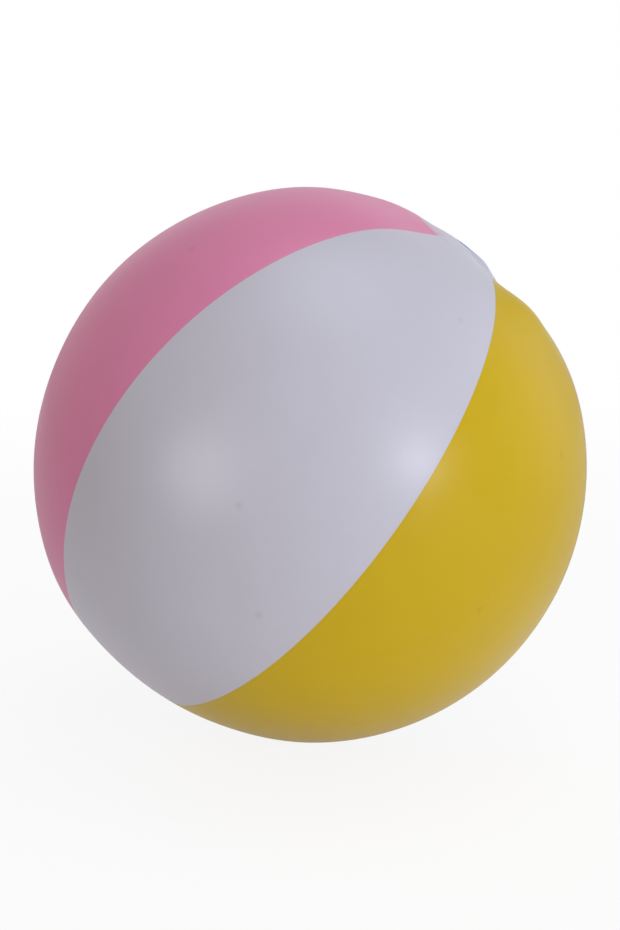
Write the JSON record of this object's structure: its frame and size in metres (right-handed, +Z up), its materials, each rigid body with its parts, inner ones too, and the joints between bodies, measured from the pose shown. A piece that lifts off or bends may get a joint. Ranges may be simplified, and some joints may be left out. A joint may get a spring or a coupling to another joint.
{
  "type": "beach ball",
  "caption": "Inflated beach ball of welded coloured vinyl gores with polar discs and a push-in mouth valve closed by a strapped stopper.",
  "frame": {"origin": "centre of the inflated ball", "axes": "+Z is up as the ball lies on the ground; its polar axis leans from +Z towards +X, and the white gore that faces the viewer lies towards -Y"},
  "size_m": [0.33, 0.33, 0.33],
  "materials": {
    "white_vinyl": "soft satin vinyl film",
    "pink_vinyl": "soft satin vinyl film",
    "yellow_vinyl": "soft satin vinyl film",
    "blue_vinyl": "soft satin vinyl film",
    "clear_vinyl": "translucent moulded soft vinyl"
  },
  "bodies": {
    "envelope": {"white_gore_front": "white_vinyl", "yellow_gore": "yellow_vinyl", "white_gore_right": "white_vinyl", "blue_gore": "blue_vinyl", "white_gore_left": "white_vinyl", "pink_gore": "pink_vinyl", "top_disc": "white_vinyl", "bottom_disc": "white_vinyl", "valve_flange": "clear_vinyl", "valve_collar": "clear_vinyl"},
    "stem": {"valve_stem": "clear_vinyl", "stopper_strap": "clear_vinyl"},
    "stopper": {"stopper": "clear_vinyl"},
    "flap": {"check_flap": "clear_vinyl"}
  },
  "joints": [
    {"name": "stem_slide", "type": "slide", "parent": "envelope", "child": "stem", "axis": [-0.0819, 0.602, 0.7943], "range_m": [0, 0.018], "deforming": ["valve_collar"]},
    {"name": "stopper_hinge", "type": "hinge", "parent": "stem", "child": "stopper", "pos_m": [-0.02093, 0.1023, 0.12606], "axis": [-0.5775, -0.6782, 0.4545], "range_deg": [0, 135], "deforming": ["stopper_strap"]},
    {"name": "flap_hinge", "type": "hinge", "parent": "stem", "child": "flap", "pos_m": [-0.01573, 0.09234, 0.11781], "axis": [0.5775, 0.6782, -0.4545], "range_deg": [0, 60], "stiffness_Nm_per_rad": 0.0002, "springref_deg": -5.73}
  ]
}
